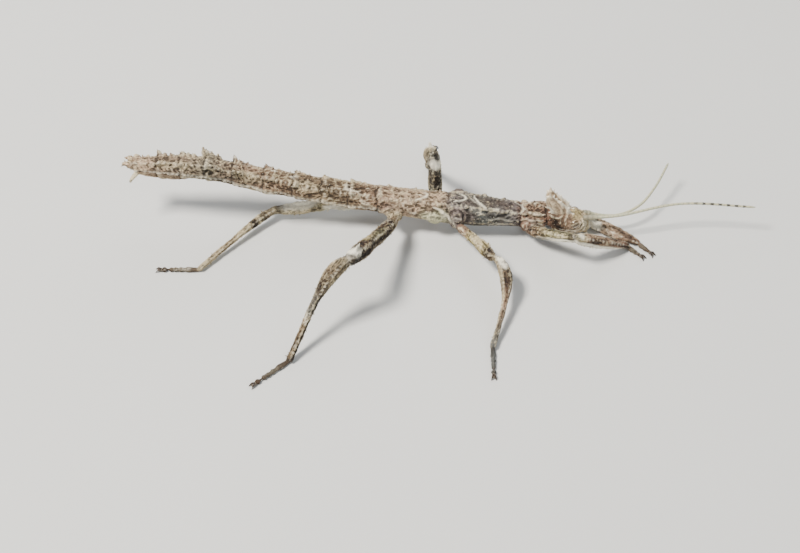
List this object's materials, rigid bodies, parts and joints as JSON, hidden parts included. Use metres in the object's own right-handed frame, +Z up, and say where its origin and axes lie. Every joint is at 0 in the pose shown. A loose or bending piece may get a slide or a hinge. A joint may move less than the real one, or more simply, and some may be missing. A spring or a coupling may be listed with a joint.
{
  "type": "stick insect",
  "caption": "Life-size still model of a bark-like stick insect with an antlered head crest, lobed legs and long feelers, standing on its feet with its front legs stretched forward.",
  "frame": {"origin": "on the floor, under the middle of the whole insect's outline seen from above", "axes": "+X points forward along the body, +Y to the insect's left, +Z up"},
  "size_m": [0.101, 0.0536, 0.0136],
  "materials": {
    "abdomen_cuticle": "rough, ridged and pitted like bark, pinkish tan with cream ridges and dark brown pits",
    "thorax_cuticle": "rough, ridged and pitted like bark, greyish brown with cream ridges and dark pits",
    "pronotum_cuticle": "rough and reddish brown with cream ridges",
    "head_cuticle": "rough, brown with cream ribs",
    "crest_horn": "rough pinkish tan horn with paler edges",
    "leg_cuticle": "rough, mottled brown, grey and cream with white lobes at the knees",
    "foot_cuticle": "matt grey brown with paler joints",
    "antenna_cuticle": "satin greenish cream with dark bands",
    "claw": "glossy dark brown",
    "eye": "glossy tan with dark streaks"
  },
  "bodies": {
    "root": {"abdomen_1": "abdomen_cuticle", "abdomen_2": "abdomen_cuticle", "abdomen_3": "abdomen_cuticle", "abdomen_4": "abdomen_cuticle", "abdomen_5": "abdomen_cuticle", "abdomen_6": "abdomen_cuticle", "abdomen_7": "abdomen_cuticle", "abdomen_8": "abdomen_cuticle", "abdomen_9": "abdomen_cuticle", "operculum": "abdomen_cuticle", "metathorax": "thorax_cuticle", "mesothorax": "thorax_cuticle", "pronotum": "pronotum_cuticle", "head": "head_cuticle", "mouthparts": "head_cuticle", "cercus_left": "abdomen_cuticle", "crest_left": "crest_horn", "eye_left": "eye", "antenna_left": "antenna_cuticle", "cercus_right": "abdomen_cuticle", "crest_right": "crest_horn", "eye_right": "eye", "antenna_right": "antenna_cuticle", "coxa_front_right": "leg_cuticle", "femur_front_right": "leg_cuticle", "tibia_front_right": "leg_cuticle", "foot_front_right": "foot_cuticle", "claws_front_right": "claw", "coxa_front_left": "leg_cuticle", "femur_front_left": "leg_cuticle", "tibia_front_left": "leg_cuticle", "foot_front_left": "foot_cuticle", "claws_front_left": "claw", "coxa_middle_right": "leg_cuticle", "femur_middle_right": "leg_cuticle", "tibia_middle_right": "leg_cuticle", "foot_middle_right": "foot_cuticle", "claws_middle_right": "claw", "coxa_middle_left": "leg_cuticle", "femur_middle_left": "leg_cuticle", "tibia_middle_left": "leg_cuticle", "foot_middle_left": "foot_cuticle", "claws_middle_left": "claw", "coxa_hind_right": "leg_cuticle", "femur_hind_right": "leg_cuticle", "tibia_hind_right": "leg_cuticle", "foot_hind_right": "foot_cuticle", "claws_hind_right": "claw", "coxa_hind_left": "leg_cuticle", "femur_hind_left": "leg_cuticle", "tibia_hind_left": "leg_cuticle", "foot_hind_left": "foot_cuticle", "claws_hind_left": "claw"}
  },
  "joints": []
}
